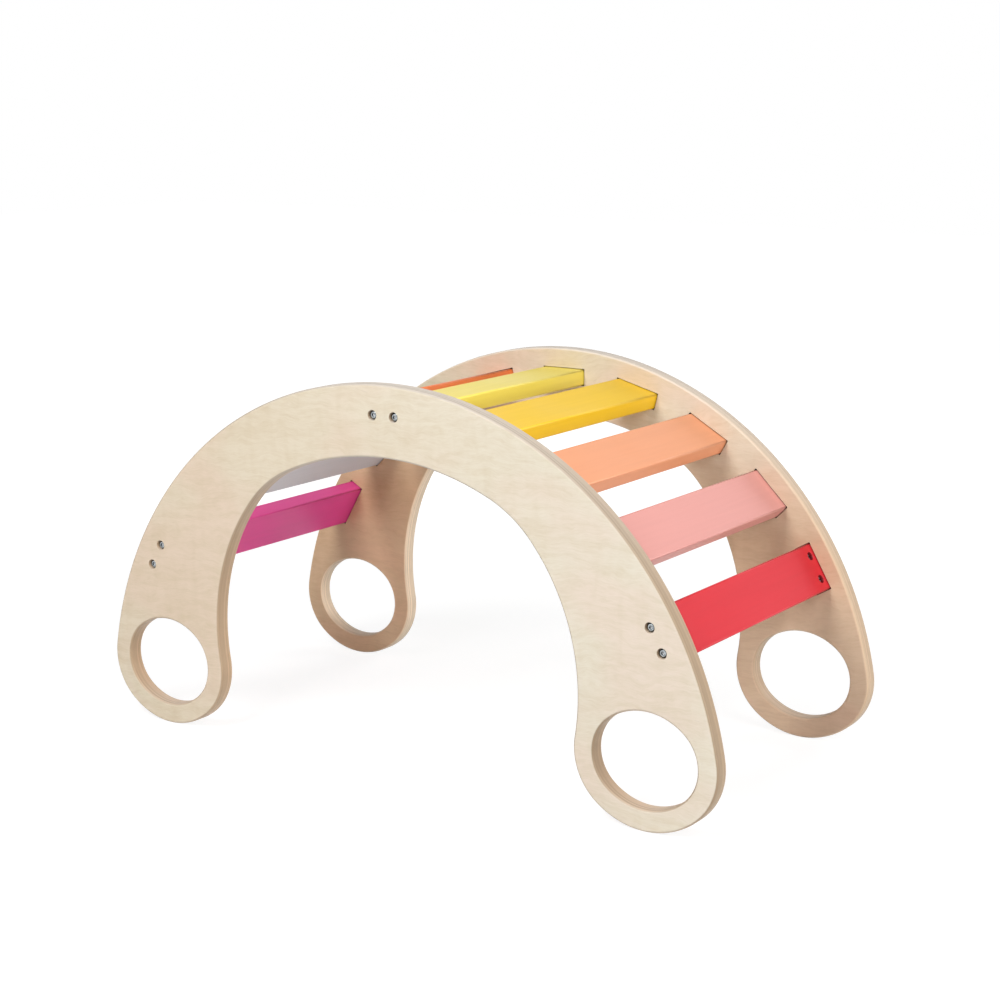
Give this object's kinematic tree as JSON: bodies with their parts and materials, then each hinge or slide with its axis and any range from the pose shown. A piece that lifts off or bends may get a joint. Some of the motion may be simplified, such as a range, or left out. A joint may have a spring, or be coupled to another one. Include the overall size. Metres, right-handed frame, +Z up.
{
  "type": "wooden rocker arch",
  "caption": "Climbing and rocking arch for a child: plywood side panels with oval hand holes, joined by painted wooden slats held in pockets and bolted through.",
  "frame": {"origin": "on the floor under the middle of the arch, in the plane of symmetry between the two side panels", "axes": "+X along the arch towards the red end slat, +Y across it towards the far side panel, +Z up"},
  "size_m": [0.867, 0.397, 0.456],
  "materials": {
    "birch_plywood": "clear satin lacquer on birch plywood, sanded edges",
    "magenta_paint": "satin magenta paint on wood",
    "grey_paint": "satin grey paint on wood",
    "green_paint": "satin soft green paint on wood",
    "orange_paint": "satin orange paint on wood",
    "light_yellow_paint": "satin light yellow paint on wood",
    "golden_paint": "satin golden yellow paint on wood",
    "peach_paint": "satin peach paint on wood",
    "pink_paint": "satin pink paint on wood",
    "red_paint": "satin red paint on wood",
    "zinc_bolt": "bright zinc plating",
    "zinc_nut": "dull zinc plating"
  },
  "bodies": {
    "root": {"near_side_panel": "birch_plywood", "far_side_panel": "birch_plywood", "magenta_slat": "magenta_paint", "grey_slat": "grey_paint", "green_slat": "green_paint", "orange_slat": "orange_paint", "light_yellow_slat": "light_yellow_paint", "golden_slat": "golden_paint", "peach_slat": "peach_paint", "pink_slat": "pink_paint", "red_slat": "red_paint", "near_magenta_left_bolt": "zinc_bolt", "near_magenta_right_bolt": "zinc_bolt", "near_light_yellow_left_bolt": "zinc_bolt", "near_light_yellow_right_bolt": "zinc_bolt", "near_red_left_bolt": "zinc_bolt", "near_red_right_bolt": "zinc_bolt", "far_magenta_left_bolt": "zinc_bolt", "far_magenta_right_bolt": "zinc_bolt", "far_light_yellow_left_bolt": "zinc_bolt", "far_light_yellow_right_bolt": "zinc_bolt", "far_red_left_bolt": "zinc_bolt", "far_red_right_bolt": "zinc_bolt", "near_magenta_left_barrel_nut": "zinc_nut", "near_magenta_right_barrel_nut": "zinc_nut", "near_light_yellow_left_barrel_nut": "zinc_nut", "near_light_yellow_right_barrel_nut": "zinc_nut", "near_red_left_barrel_nut": "zinc_nut", "near_red_right_barrel_nut": "zinc_nut", "far_magenta_left_barrel_nut": "zinc_nut", "far_magenta_right_barrel_nut": "zinc_nut", "far_light_yellow_left_barrel_nut": "zinc_nut", "far_light_yellow_right_barrel_nut": "zinc_nut", "far_red_left_barrel_nut": "zinc_nut", "far_red_right_barrel_nut": "zinc_nut"}
  },
  "joints": []
}
